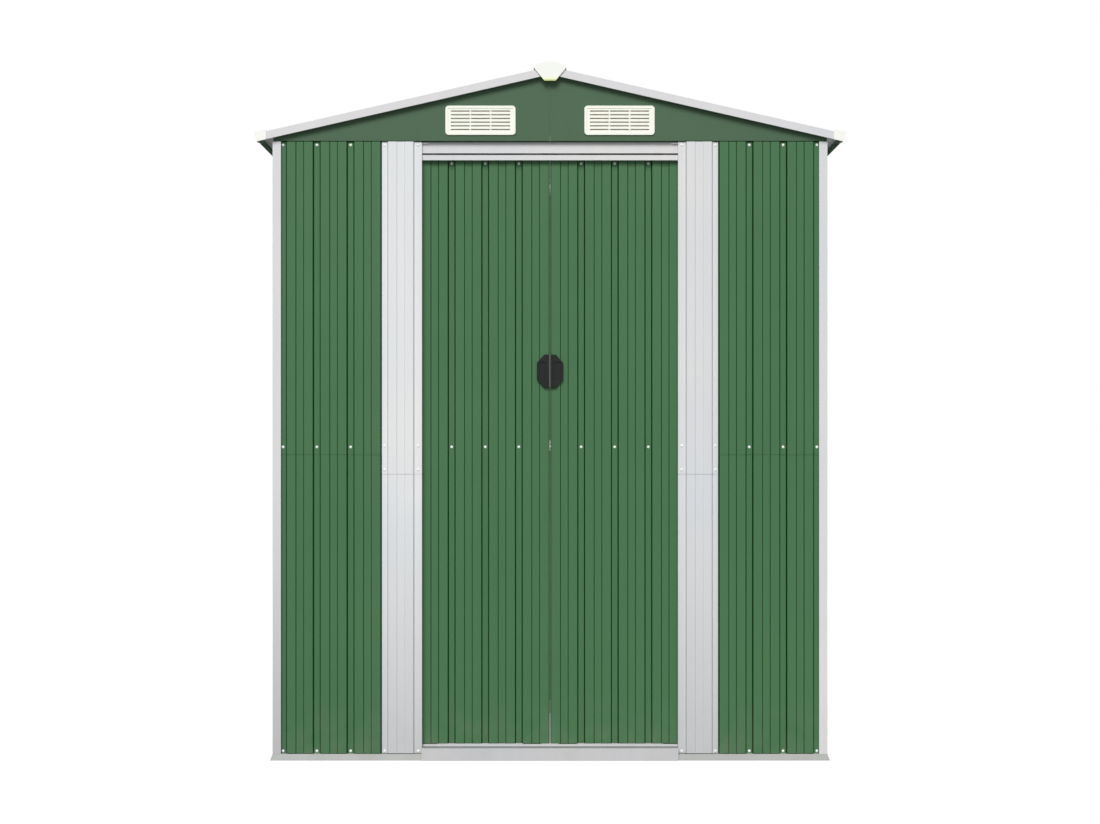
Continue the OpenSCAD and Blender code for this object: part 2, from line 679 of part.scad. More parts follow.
// Handle: half an octagon with a lip along the meeting edge
module door_left_handle() color(CHARCOAL) on_wall(FRONT) translate([0, 0, handle_z]) {
    back_y = door_y - seat;
    out_x = door_in_x + handle_w;
    flat_x = door_in_x + handle_w * 0.4;
    dish = [handle_w * 0.25, handle_h / 2 - handle_w * 0.6];
    difference() {
        along_y(back_y - handle_proud, back_y) polygon([
            [-door_in_x, -handle_h / 2], [-flat_x, -handle_h / 2], [-out_x, -handle_h / 4],
            [-out_x, handle_h / 4], [-flat_x, handle_h / 2], [-door_in_x, handle_h / 2]
        ]);
        translate([-door_in_x - handle_w * 0.55, 0, 0])
            block([-dish.x, back_y - handle_proud - over, -dish.y],
                  [dish.x, back_y - handle_proud + 3.5, dish.y]);
    }
    block([-door_in_x - 5, back_y - handle_proud - 3, -handle_h / 2],
          [-door_in_x, back_y - handle_proud + over, handle_h / 2]);
}

// Glides: two hang in the track, and two shoes straddle the guide at the foot of the door
module door_left_glides() color(NYLON) on_wall(FRONT) translate([0, door_mid_y, 0])
    for (x = [-door_out_x + glide_inset, -door_in_x - glide_inset - glide_l]) {
        lip_z = track_lip_z + frame_t + seat;
        block([x, -glide_neck, door_frame_top_z], [x + glide_l, glide_neck, lip_z + over]);
        block([x, -glide_half_y, lip_z], [x + glide_l, glide_half_y, lip_z + glide_h]);
        difference() {
            block([x, -shoe_half_y, shoe_foot_z], [x + glide_l, shoe_half_y, door_foot_z]);
            block([x - over, -frame_t / 2 - shoe_play, shoe_foot_z - over],
                  [x + glide_l + over, frame_t / 2 + shoe_play, guide_h + 3 * shoe_play]);
        }
    }

module door_right_sheet() mirror([1, 0, 0]) door_left_sheet();
module door_right_frame() mirror([1, 0, 0]) door_left_frame();
module door_right_handle() mirror([1, 0, 0]) door_left_handle();
module door_right_glides() mirror([1, 0, 0]) door_left_glides();

base_rail_front();
base_rail_right();
base_rail_rear();
base_rail_left();
door_sill();
door_guide();
corner_post_front_left();
corner_post_front_right();
corner_post_rear_right();
corner_post_rear_left();
mid_rails_front();
mid_rail_right();
mid_rail_rear();
mid_rail_left();
door_track();
track_face();
door_head_strip();
top_rail_right();
top_rail_rear();
top_rail_left();
front_wall_left();
front_wall_right();
door_jamb_left();
door_jamb_right();
right_wall();
rear_wall();
left_wall();
gable_front_left();
gable_front_right();
gable_rear_left();
gable_rear_right();
vents_front();
vents_rear();
ridge_beam();
purlins();
roof_left();
roof_right();
ridge_cap();
ridge_end_caps();
verge_trims_front();
verge_trims_rear();
eave_trims();
eave_caps();
door_left_sheet();
door_left_frame();
door_left_handle();
door_left_glides();
door_right_sheet();
door_right_frame();
door_right_handle();
door_right_glides();
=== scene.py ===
"""Looks of the metal storage shed: materials, screws and small fittings, a plain studio and the camera."""

import math

import bmesh
import bpy
from mathutils import Matrix, Vector


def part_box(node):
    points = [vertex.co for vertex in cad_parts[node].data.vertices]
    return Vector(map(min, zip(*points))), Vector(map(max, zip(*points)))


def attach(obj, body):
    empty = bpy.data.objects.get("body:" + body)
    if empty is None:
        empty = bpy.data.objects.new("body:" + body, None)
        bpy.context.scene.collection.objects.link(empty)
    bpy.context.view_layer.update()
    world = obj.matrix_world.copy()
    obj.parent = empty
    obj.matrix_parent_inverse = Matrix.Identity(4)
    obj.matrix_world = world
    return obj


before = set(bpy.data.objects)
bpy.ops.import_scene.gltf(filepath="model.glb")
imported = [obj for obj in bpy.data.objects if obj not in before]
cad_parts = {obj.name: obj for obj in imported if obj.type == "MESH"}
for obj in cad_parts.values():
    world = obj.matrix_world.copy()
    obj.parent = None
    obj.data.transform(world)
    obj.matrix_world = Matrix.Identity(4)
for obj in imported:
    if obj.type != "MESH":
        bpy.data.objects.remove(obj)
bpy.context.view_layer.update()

# Sizes in metres. Places come from the frame, and these are the sizes that it doesn't give.
SHEET_T = 0.001
GROOVE_DEPTH = 0.008
GROOVE_FLOOR_SPAN = (0.012, 0.026)
ROOF_PITCH = math.radians(12.84)
SAME_Z = 1e-4
SAME_DEPTH = 2e-4

# Screws: their heads, how far they sit from the edges of the sheets, and the grooves that a jamb covers.
SCREW_R = 0.0047
SCREW_H = 0.0022
SCREW_STEPS = 14
SCREW_PROFILE = [(SCREW_R, 0.0), (SCREW_R, 0.0006), (SCREW_R * 0.94, 0.0009), (SCREW_R * 0.78, 0.0014),
                 (SCREW_R * 0.58, 0.0018), (SCREW_R * 0.36, 0.0021), (SCREW_R * 0.14, SCREW_H)]
TOP_SCREW_DROP = 0.010
DOOR_TOP_SCREW_DROP = 0.025
FOOT_SCREW_RISE = 0.0063
LAP_SCREW_Z = 1.018
JAMB_RAIL_SCREW_Z = LAP_SCREW_Z + 0.004
JAMB_LAP_SCREW_Z = 0.944
ROOF_SCREW_X = (0.075, 0.460, 0.882)
WALL_COVERED_X = 0.539
DOOR_COVERED_X = 0.432
COVERED_REACH = 0.03

# Louvres behind the slots of the vents.
SLOT_ROWS = 6
SLOT_PITCH = 0.012
VENT_BORDER = 0.0185
SLAT_T = 0.0011
SLAT_RISE = 0.0125
SLAT_RUN = 0.009
SLAT_BELOW = 0.42
SLAT_TOE = 0.0012
SLAT_HEEL = 0.0014
SLAT_GAP = 0.0006

# Tabs at the ends of the track, the buffer between the handles and the folded edges of the doors. The buffer
# and the folds lie a hair off what carries them.
HAIR = 0.0001
TAB_OUT = 0.0065
TAB_H = 0.0055
TAB_REACH = 0.022
TAB_DROP = 0.0008
TAB_SIDE_GAP = 0.0004
TAB_FACE_GAP = 0.0003
BUFFER_SINK = 0.002
BUFFER_INSET = 0.002
BUFFER_PLAY = 0.0016
FOLD_W = 0.0021
FOLD_DEPTH = 0.0080
FOLD_ROOT_SINK = 0.0006
FOLD_EDGE_SINK = 0.0012
FOLD_END = 0.001

FRONT, RIGHT, REAR, LEFT = range(4)
X_AXIS, Y_AXIS, Z_AXIS = range(3)


# ---------------------------------------------------------------- shader helpers

NOISE_SPAN = (0.3, 0.7)
DUST_SPAN = (0.35, 0.75)
SWAGE_SLANT = (0.35, 0.5)
FLANK_SLANT = (0.65, 0.8)
FACES_UP = (0.85, 0.95)
FACES_DOWN = (-0.9, -0.8)
DUST_Z = (0.02, 0.22)
DUST_MOST = 0.14
FADE_TOP_Z = 0.85
STREAK_SHARE = 0.10
JOINT_BLUR = 0.0006
EVEN = (1, 1, 1)
RUN_DOWN = (1, 1, 0.03)


def node(tree, kind, settings=None, **inputs):
    """Adds a shader node. An input is a plain value or another node's output, and _3 sets inputs[3]."""
    made = tree.nodes.new("ShaderNode" + kind)
    for key, value in (settings or {}).items():
        setattr(made, key, value)
    for key, value in inputs.items():
        socket = made.inputs[int(key[1:])] if key[0] == "_" else made.inputs[key.replace("_", " ")]
        if isinstance(value, bpy.types.NodeSocket):
            tree.links.new(value, socket)
        else:
            socket.default_value = value
    return made


def maths(tree, operation, a, b=0.0):
    return node(tree, "Math", {"operation": operation}, _0=a, _1=b).outputs[0]


def mix(tree, factor, a, b):
    """Colour from a at factor 0 to b at factor 1."""
    return node(tree, "Mix", {"data_type": "RGBA"}, _0=factor, _6=a, _7=b).outputs[2]


def spread(tree, value, low, high, to_low, to_high):
    """Maps a value from low..high to to_low..to_high, held at both ends."""
    made = node(tree, "MapRange", None, Value=value, From_Min=low, From_Max=high,
                To_Min=to_low, To_Max=to_high)
    return made.outputs[0]


def noise(tree, place, scale, detail, stretch=EVEN):
    """Noise over the object's own coordinates, drawn out along an axis whose stretch is below 1."""
    placed = node(tree, "Mapping", None, Vector=place, Scale=stretch)
    return node(tree, "TexNoise", None, Vector=placed.outputs[0], Scale=scale, Detail=detail).outputs[0]


def patches(tree, place, scale, detail, low=0.0, high=1.0, stretch=EVEN):
    """Noise mapped from its usual span to low..high."""
    return spread(tree, noise(tree, place, scale, detail, stretch), *NOISE_SPAN, low, high)


def part(tree, vector, axis):
    """One part of a vector."""
    return node(tree, "SeparateXYZ", None, Vector=vector).outputs[axis]


def facing(tree, axis):
    """How far the flat face looks along an axis, from -1 to 1."""
    return part(tree, node(tree, "NewGeometry").outputs["True Normal"], axis)


def seen(tree):
    """1 for rays that the eye follows straight, in gloss or through glass, and 0 for light."""
    path = node(tree, "LightPath").outputs
    straight = maths(tree, "MAXIMUM", path["Is Camera Ray"], path["Is Glossy Ray"])
    return maths(tree, "MAXIMUM", straight, path["Is Transmission Ray"])


def colour(r, g, b):
    return (r, g, b, 1.0)


def dim(c, by):
    """A colour multiplied by a tone."""
    return colour(*(x * y for x, y in zip(c[:3], by)))


def principled(tree):
    return next(n for n in tree.nodes if n.type == "BSDF_PRINCIPLED")


def new_material(name):
    """A material with its tree, its shader and the object's own coordinates."""
    made = bpy.data.materials.new(name)
    made.use_nodes = True
    tree = made.node_tree
    shader = principled(tree)
    place = node(tree, "TexCoord").outputs["Object"]
    return made, tree, shader, place


def relief(tree, shader, place, grain_scale, grain, wave=0.0, edge_r=0.0006):
    """Rounded edges, slow waves in the sheet and the fine grain of its coating, as the shader's normal."""
    normal = node(tree, "Bevel", {"samples": 4}, Radius=edge_r).outputs[0]
    if wave:
        normal = node(tree, "Bump", None, Strength=0.5, Distance=wave, Height=noise(tree, place, 2.6, 1.0),
                      Normal=normal).outputs[0]
    normal = node(tree, "Bump", None, Strength=0.4, Distance=grain,
                  Height=noise(tree, place, grain_scale, 2.0), Normal=normal).outputs[0]
    tree.links.new(normal, shader.inputs["Normal"])


# ---------------------------------------------------------------- kinds of material

DUST = colour(0.36, 0.33, 0.27)
STREAK_TONE = (0.72, 0.74, 0.74)
MOTTLE_TONES = ((0.95, 0.97, 0.99), (1.05, 1.03, 1.0))
MEETING_SHADE_TONE = (0.76, 0.70, 0.74)


def coated_steel(name, base, across=None, swage_painted_shade=EVEN, flank_painted_shade=EVEN, roughness=0.42, wave=0.0012,
                 specular=0.35, top_painted_shade=None, under_painted_shade=None, low_painted_shade=1.0, shade_half_width=0.0):
    """Coil-coated steel, mottled and faintly streaked, with dust near the ground.

    across is the axis that runs over the grooves, whose swages and flanks take painted shade, darker than
    the faces.
    The top shade paints shade on level upper faces, patchy, and the under shade paints shade on faces that
    look down.
    The low shade is what painted shade darkens the paint to near the ground. Within the joint's half-width
    of the meeting line of the doors, painted shade darkens it.
    """
    made, tree, shader, place = new_material(name)
    shader.inputs["Specular IOR Level"].default_value = specular
    mottle = patches(tree, place, 1.7, 2.0)
    paint = mix(tree, mottle, dim(base, MOTTLE_TONES[0]), dim(base, MOTTLE_TONES[1]))
    streak = patches(tree, place, 26.0, 3.0, stretch=RUN_DOWN)
    paint = mix(tree, maths(tree, "MULTIPLY", streak, STREAK_SHARE), paint, dim(base, STREAK_TONE))
    # Painted shade: swages and steep flanks of the grooves darken by how far they face across the wall.
    if across is not None:
        slant = maths(tree, "ABSOLUTE", facing(tree, across))
        paint = mix(tree, spread(tree, slant, *SWAGE_SLANT, 0.0, 1.0), paint, dim(base, swage_painted_shade))
        paint = mix(tree, spread(tree, slant, *FLANK_SLANT, 0.0, 1.0), paint, dim(base, flank_painted_shade))
    # Painted shade on faces that look up, in patches.
    if top_painted_shade is not None:
        up = spread(tree, facing(tree, Z_AXIS), *FACES_UP, 0.0, 1.0)
        top_shade = maths(tree, "MULTIPLY", up, patches(tree, place, 6.0, 4.0, 0.75, 1.0))
        paint = mix(tree, top_shade, paint, dim(base, top_painted_shade))
    # Painted shade on faces that look down.
    if under_painted_shade is not None:
        down_shade = spread(tree, facing(tree, Z_AXIS), *FACES_DOWN, 1.0, 0.0)
        paint = mix(tree, down_shade, paint, dim(base, under_painted_shade))
    height = part(tree, place, Z_AXIS)
    # Painted shade along the doors' meeting line.
    if shade_half_width:
        off_line = maths(tree, "ABSOLUTE", part(tree, place, X_AXIS))
        meeting_line_shade = spread(tree, off_line, shade_half_width - JOINT_BLUR, shade_half_width + JOINT_BLUR, 1.0, 0.0)
        paint = mix(tree, meeting_line_shade, paint, dim(base, MEETING_SHADE_TONE))
    # Painted shade that darkens the paint towards the ground.
    if low_painted_shade < 1.0:
        ground_shade = spread(tree, height, 0.0, FADE_TOP_Z, 1.0, 0.0)
        paint = mix(tree, ground_shade, paint, dim(base, (low_painted_shade, low_painted_shade, low_painted_shade)))
    specks = spread(tree, noise(tree, place, 14.0, 5.0), *DUST_SPAN, 0.0, DUST_MOST)
    dust = maths(tree, "MULTIPLY", spread(tree, height, *DUST_Z, 1.0, 0.0), specks)
    paint = mix(tree, dust, paint, DUST)
    tree.links.new(paint, shader.inputs["Base Color"])
    rough = patches(tree, place, 9.0, 4.0, roughness - 0.05, roughness + 0.07)
    tree.links.new(rough, shader.inputs["Roughness"])
    relief(tree, shader, place, 700.0, 0.00012, wave)
    return made


def plastic(name, base, shade, roughness, specular=0.35):
    """Moulded plastic with a fine grain, a little colour drift and slightly polished patches."""
    made, tree, shader, place = new_material(name)
    shader.inputs["Specular IOR Level"].default_value = specular
    tree.links.new(mix(tree, patches(tree, place, 12.0, 3.0), base, shade), shader.inputs["Base Color"])
    rough = patches(tree, place, 40.0, 3.0, roughness - 0.06, roughness + 0.08)
    tree.links.new(rough, shader.inputs["Roughness"])
    relief(tree, shader, place, 260.0, 0.0002, edge_r=0.0012)
    return made


def cap_with_painted_glow(name, base, shade, glow, edge, foot_z):
    """The caps' plastic with painted light: a yellow-green glow of light through it near its foot, deepest
    at its lower edge.
    """
    glow_foot, glow_top, deep_glow_top = foot_z + 0.004, foot_z + 0.018, foot_z + 0.0075
    made = plastic(name, base, shade, 0.38)
    tree = made.node_tree
    shader = principled(tree)
    painted = shader.inputs["Base Color"].links[0].from_socket
    height = part(tree, node(tree, "TexCoord").outputs["Object"], Z_AXIS)
    # Painted glow of light through the plastic near the foot, deepening to a darker olive at the lower edge.
    glowing_paint = mix(tree, spread(tree, height, glow_foot, glow_top, 1.0, 0.0), painted, glow)
    glowing_paint = mix(tree, spread(tree, height, foot_z, deep_glow_top, 1.0, 0.0), glowing_paint, edge)
    tree.links.new(glowing_paint, shader.inputs["Base Color"])
    return made


def galvanised(name):
    """Bare zinc with its spangle."""
    made, tree, shader, place = new_material(name)
    cells = node(tree, "TexVoronoi", {"feature": "F1"}, Vector=place, Scale=90.0).outputs["Color"]
    tone = node(tree, "SeparateColor", None, Color=cells).outputs[0]
    paint = mix(tree, tone, colour(0.42, 0.43, 0.44), colour(0.60, 0.61, 0.62))
    tree.links.new(paint, shader.inputs["Base Color"])
    shader.inputs["Metallic"].default_value = 0.55
    tree.links.new(spread(tree, tone, 0.0, 1.0, 0.36, 0.55), shader.inputs["Roughness"])
    relief(tree, shader, place, 500.0, 0.0001)
    return made


# ---------------------------------------------------------------- materials

GREEN = colour(0.060, 0.163, 0.070)
GABLE_GREEN = colour(0.065, 0.128, 0.071)
WHITE = colour(0.72, 0.72, 0.735)
SILL_WHITE = colour(0.60, 0.60, 0.615)
# The base rails' white paint, darkened by painted shade near the ground.
BASE_WHITE_SHADED = colour(0.37, 0.385, 0.37)
JAMB_WHITE = colour(0.785, 0.80, 0.815)
GREEN_SHEEN = 0.22
# The swage and flank tones are painted shade on the grooves.
GREEN_FOLDS = {"swage_painted_shade": (0.12, 0.30, 0.15), "flank_painted_shade": (0.03, 0.20, 0.06), "specular": GREEN_SHEEN}
JAMB_FOLDS = {"swage_painted_shade": (0.93, 0.93, 0.93), "flank_painted_shade": (0.88, 0.88, 0.88), "roughness": 0.40}
SECTION = {"roughness": 0.40, "wave": 0.0006}

front_green = coated_steel("green_sheet_front", GREEN, X_AXIS, **GREEN_FOLDS)
side_green = coated_steel("green_sheet_side", GREEN, Y_AXIS, **GREEN_FOLDS)
# Painted shade darkens the doors along their meeting line.
door_green = coated_steel("green_sheet_door", GREEN, X_AXIS, **GREEN_FOLDS, shade_half_width=0.0066)
strip_green = coated_steel("green_edge_fold", dim(GREEN, (0.93, 0.87, 0.90)), specular=GREEN_SHEEN)
gable_green = coated_steel("gable_sheet", GABLE_GREEN, specular=GREEN_SHEEN)
roof_green = coated_steel("roof_sheet", GREEN, Y_AXIS, **GREEN_FOLDS)
# Both jambs darken towards the ground with painted shade.
jamb_white = coated_steel("white_sheet", JAMB_WHITE, X_AXIS, **JAMB_FOLDS, low_painted_shade=0.73)
# The right jamb is a dimmer copy of the jamb's white, painted shade.
jamb_white_right_shaded = coated_steel("white_sheet_right_shaded", dim(JAMB_WHITE, (0.92, 0.915, 0.92)), X_AXIS,
                                **JAMB_FOLDS, low_painted_shade=0.78)
frame_white = coated_steel("white_frame", WHITE, **SECTION)
# The left posts: the white frame's paint with painted shade darkening it towards the ground.
left_post_white_shaded = coated_steel("white_post_left_shaded", WHITE, **SECTION, low_painted_shade=0.71)
# Painted shade on the eave trims' faces that look down.
eave_white = coated_steel("white_eave", WHITE, **SECTION, under_painted_shade=(0.34, 0.34, 0.34))
# Painted shade on the sill's upper faces.
sill_white = coated_steel("white_sill", SILL_WHITE, **SECTION, top_painted_shade=(0.46, 0.48, 0.47))
base_white_shaded = coated_steel("white_base_shaded", BASE_WHITE_SHADED, roughness=0.44)
zinc = galvanised("inner_steel")
cream = plastic("cream_plastic", colour(0.99, 0.99, 0.88), colour(0.96, 0.98, 0.88), 0.38)
cap_cream = plastic("cap_plastic", colour(0.97, 0.98, 0.93), colour(0.94, 0.95, 0.90), 0.38)
# The ridge end caps carry painted light: a yellow-green glow near their foot.
ridge_cap_painted_glow = cap_with_painted_glow("ridge_cap_plastic_painted_glow", colour(0.97, 0.98, 0.94), colour(0.94, 0.95, 0.90),
                             glow=colour(0.94, 1.0, 0.64), edge=colour(0.46, 0.54, 0.20),
                             foot_z=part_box("ridge_end_caps")[0].z)
charcoal = plastic("dark_plastic", colour(0.007, 0.008, 0.008), colour(0.012, 0.012, 0.013), 0.48,
                   specular=0.18)
nylon = plastic("nylon", colour(0.74, 0.73, 0.68), colour(0.66, 0.66, 0.62), 0.50)
screw_cap = plastic("screw_cap", colour(0.90, 0.97, 0.90), colour(0.82, 0.90, 0.82), 0.30)
slat_plastic = plastic("louvre_plastic", colour(0.84, 0.76, 0.62), colour(0.78, 0.71, 0.58), 0.50)
buffer_grey = plastic("buffer_rubber", colour(0.135, 0.135, 0.13), colour(0.11, 0.11, 0.105), 0.60,
                      specular=0.2)

# A node takes the material of the longest start of its name.
MATERIAL_BY_START = {
    "base_rail": base_white_shaded,
    "corner_post": frame_white,
    "corner_post_front_left": left_post_white_shaded,
    "corner_post_rear_left": left_post_white_shaded,
    "door_guide": frame_white,
    "door_head_strip": frame_white,
    "door_jamb": jamb_white,
    "door_jamb_right": jamb_white_right_shaded,
    "door_left_frame": frame_white,
    "door_left_glides": nylon,
    "door_left_handle": charcoal,
    "door_left_sheet": door_green,
    "door_right_frame": frame_white,
    "door_right_glides": nylon,
    "door_right_handle": charcoal,
    "door_right_sheet": door_green,
    "door_sill": sill_white,
    "door_track": frame_white,
    "eave_caps": cap_cream,
    "eave_trims": eave_white,
    "front_wall": front_green,
    "gable": gable_green,
    "left_wall": side_green,
    "mid_rail": frame_white,
    "purlins": zinc,
    "rear_wall": front_green,
    "ridge_beam": zinc,
    "ridge_cap": frame_white,
    "ridge_end_caps": ridge_cap_painted_glow,
    "right_wall": side_green,
    "roof": roof_green,
    "top_rail": frame_white,
    "track_face": frame_white,
    "vents": cream,
    "verge_trims": frame_white,
}


def dress(name, material):
    """Gives a CAD node its material."""
    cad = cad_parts[name]
    if not cad.material_slots:
        cad.data.materials.append(material)
    for held in cad.material_slots:
        held.material = material


for node_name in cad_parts:
    start = max((key for key in MATERIAL_BY_START if node_name.startswith(key)), key=len)
    dress(node_name, MATERIAL_BY_START[start])


# ---------------------------------------------------------------- places on the walls

post_low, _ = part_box("corner_post_front_left")
HALF_W, HALF_D = -post_low.x, -post_low.y
WALL_TOP_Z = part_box("front_wall_left")[1].z


def on_wall(wall):
    """From a wall's own frame, with x along it and y inwards from the posts' face, to the shed's."""
    half = HALF_D if wall in (FRONT, REAR) else HALF_W
    return Matrix.Rotation(math.radians(90 * wall), 4, "Z") @ Matrix.Translation((0, -half, 0))


def groove_middles(name, wall, top=True):
    """The middles of a sheet's grooves at its top or foot edge, along the wall, and their floors' depth."""
    back = on_wall(wall).inverted()
    points = [back @ v.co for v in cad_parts[name].data.vertices]
    edge = (max if top else min)(p.z for p in points)
    rim = [p for p in points if abs(p.z - edge) < SAME_Z]
    face = min(p.y for p in rim)
    floor = sorted({round(p.x, 4) for p in rim if abs(p.y - face - GROOVE_DEPTH) < SAME_DEPTH})
    narrowest, widest = GROOVE_FLOOR_SPAN
    middles = [(a + b) / 2 for a, b in zip(floor, floor[1:]) if narrowest < b - a < widest]
    return middles, face + GROOVE_DEPTH


# ---------------------------------------------------------------- making pieces

def as_piece(name, mesh, material, body):
    """Puts a finished bmesh into the scene as one piece that rides on a body."""
    data = bpy.data.meshes.new(name)
    bmesh.ops.recalc_face_normals(mesh, faces=mesh.faces)
    mesh.to_mesh(data)
    mesh.free()
    data.materials.append(material)
    made = bpy.data.objects.new(name, data)
    bpy.context.scene.collection.objects.link(made)
    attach(made, body)


def add_lathe(mesh, profile, at, steps):
    """Turns a profile of (radius, height) round the local z axis, from its rim to a closed crown."""
    rings = []
    for radius, height in profile:
        turns = [2 * math.pi * i / steps for i in range(steps)]
        rings.append([mesh.verts.new(at @ Vector((radius * math.cos(a), radius * math.sin(a), height)))
                      for a in turns])
    for lower, upper in zip(rings, rings[1:]):
        for i in range(steps):
            j = (i + 1) % steps
            mesh.faces.new((lower[i], lower[j], upper[j], upper[i])).smooth = True
    mesh.faces.new(rings[-1]).smooth = True
    mesh.faces.new(rings[0][::-1])


def add_prism(mesh, outline, at, start, end, upright=False):
    """Extrudes an outline of (y, z) along x, or an upright one of (x, y) along z, in the frame of at."""
    ends = []
    for along in (start, end):
        corners = [(a, b, along) if upright else (along, a, b) for a, b in outline]
        ends.append([mesh.verts.new(at @ Vector(corner)) for corner in corners])
    count = len(outline)
    for i in range(count):
        j = (i + 1) % count
        mesh.faces.new((ends[0][i], ends[0][j], ends[1][j], ends[1][i]))
    mesh.faces.new(ends[0][::-1])
    mesh.faces.new(ends[1])


# ---------------------------------------------------------------- screws

def add_screw(mesh, at):
    """A capped screw head on a flange. Its axis is the local z of at."""
    add_lathe(mesh, SCREW_PROFILE, at, SCREW_STEPS)


def add_wall_screw(mesh, wall, x, y, z):
    """A screw on a wall, with its head outwards."""
    upright = Matrix.Rotation(math.radians(90), 4, "X")
    add_screw(mesh, on_wall(wall) @ Matrix.Translation((x, y, z)) @ upright)


def wall_screws(name, nodes, wall, body="shed", drop=TOP_SCREW_DROP, laps=(LAP_SCREW_Z,), foot=True,
                covered_x=None):
    """Screws in the grooves of the sheets, at the top, the laps and the foot. A covered groove has none."""
    mesh = bmesh.new()
    for sheet in nodes:
        low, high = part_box(sheet)
        top_z = min(high.z, WALL_TOP_Z) - drop
        middles, deep = groove_middles(sheet, wall)
        foot_middles, foot_deep = groove_middles(sheet, wall, top=False)
        for x in middles:
            if covered_x is not None and abs(abs(x) - covered_x) < COVERED_REACH:
                continue
            for z in (top_z, *laps):
                add_wall_screw(mesh, wall, x, deep, z)
            if foot:
                near = min(foot_middles, key=lambda middle: abs(middle - x))
                add_wall_screw(mesh, wall, near, foot_deep, low.z + FOOT_SCREW_RISE)
    as_piece(name, mesh, screw_cap, body)


def roof_screws():
    """Screws on the ribs of each roof slope, over the beam, the purlin and the top rail."""
    ribs, _ = groove_middles("right_wall", RIGHT)
    ridge_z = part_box("roof_right")[1].z - (GROOVE_DEPTH + SHEET_T) * math.cos(ROOF_PITCH)
    for side, turn in (("right", 0), ("left", 180)):
        slope = (Matrix.Rotation(math.radians(turn), 4, "Z") @ Matrix.Translation((0, 0, ridge_z))
                 @ Matrix.Rotation(ROOF_PITCH, 4, "Y"))
        mesh = bmesh.new()
        for y in ribs:
            for x in ROOF_SCREW_X:
                at = (x / math.cos(ROOF_PITCH), y, GROOVE_DEPTH + SHEET_T)
                add_screw(mesh, slope @ Matrix.Translation(at))
        as_piece(f"screws_roof_{side}", mesh, screw_cap, "shed")


wall_screws("screws_front", ["front_wall_left", "front_wall_right"], FRONT, covered_x=WALL_COVERED_X)
wall_screws("screws_jambs", ["door_jamb_left", "door_jamb_right"], FRONT,
            laps=(JAMB_RAIL_SCREW_Z, JAMB_LAP_SCREW_Z))
wall_screws("screws_right", ["right_wall"], RIGHT)
wall_screws("screws_rear", ["rear_wall"], REAR)
wall_screws("screws_left", ["left_wall"], LEFT)
for side in ("left", "right"):
    wall_screws(f"screws_door_{side}", [f"door_{side}_sheet"], FRONT, f"door_{side}",
                drop=DOOR_TOP_SCREW_DROP, foot=False, covered_x=DOOR_COVERED_X)
roof_screws()


# ---------------------------------------------------------------- vents and doorway

def louvres(name, wall, vents):
    """Sloping slats behind the slots of a wall's two vents."""
    low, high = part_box(vents)
    middle_z = (low.z + high.z) / 2
    points = [v.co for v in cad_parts[vents].data.vertices]
    in_x = min(p.x for p in points if p.x > 0)
    out_x = max(p.x for p in points if p.x > 0)
    hole_half = (out_x - in_x) / 2 - VENT_BORDER
    into_wall = on_wall(wall).inverted()
    near = max((into_wall @ p).y for p in points) + SLAT_GAP
    far = near + SLAT_RUN
    mesh = bmesh.new()
    for vent_x in (-(in_x + out_x) / 2, (in_x + out_x) / 2):
        for row in range(SLOT_ROWS):
            foot_z = middle_z + (row - (SLOT_ROWS - 1) / 2) * SLOT_PITCH - SLAT_RISE * SLAT_BELOW
            outline = [(near, foot_z), (near + SLAT_TOE, foot_z), (far, foot_z + SLAT_RISE),
                       (far - SLAT_T, foot_z + SLAT_RISE), (near, foot_z + SLAT_HEEL)]
            add_prism(mesh, outline, on_wall(wall), vent_x - hole_half, vent_x + hole_half)
    as_piece(name, mesh, slat_plastic, "shed")


def track_tabs():
    """Folded tabs that hold the ends of the track at the top corners of the doorway."""
    face_low, face_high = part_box("track_face")
    jamb_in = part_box("door_jamb_left")[1].x
    back_y = face_low.y + HALF_D - TAB_FACE_GAP
    front_y = face_low.y + HALF_D - TAB_OUT
    top_z = face_high.z - TAB_DROP
    outline = [(front_y, top_z - TAB_H), (front_y, top_z), (back_y, top_z), (back_y, top_z - TAB_H)]
    mesh = bmesh.new()
    add_prism(mesh, outline, on_wall(FRONT), jamb_in + TAB_SIDE_GAP, jamb_in + TAB_REACH)
    add_prism(mesh, outline, on_wall(FRONT), -jamb_in - TAB_REACH, -jamb_in - TAB_SIDE_GAP)
    as_piece("track_tabs", mesh, frame_white, "shed")


def handle_buffer():
    """Grey strip along the left handle's meeting edge, between the closed handles."""
    low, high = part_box("door_left_handle")
    front_y, back_y = low.y + HALF_D + BUFFER_SINK, high.y + HALF_D
    foot_z, top_z = low.z + BUFFER_INSET, high.z - BUFFER_INSET
    outline = [(front_y, foot_z), (back_y, foot_z), (back_y, top_z), (front_y, top_z)]
    mesh = bmesh.new()
    add_prism(mesh, outline, on_wall(FRONT), high.x + HAIR, -high.x - BUFFER_PLAY)
    as_piece("handle_buffer", mesh, buffer_grey, "door_left")


def edge_fold(side):
    """Folded edge of a door's sheet at the meeting line. The two narrow the gap to about the photo's."""
    low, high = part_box(f"door_{side}_sheet")
    sign, edge_x = (1, high.x) if side == "left" else (-1, low.x)
    face_y = low.y + HALF_D
    root_x, tip_x = edge_x + sign * HAIR, edge_x + sign * FOLD_W
    outline = [(root_x, face_y + FOLD_ROOT_SINK), (tip_x, face_y + FOLD_EDGE_SINK),
               (tip_x, face_y + FOLD_DEPTH), (root_x, face_y + FOLD_DEPTH)]
    mesh = bmesh.new()
    add_prism(mesh, outline, on_wall(FRONT), low.z + FOLD_END, high.z - FOLD_END, upright=True)
    as_piece(f"edge_fold_{side}", mesh, strip_green, f"door_{side}")


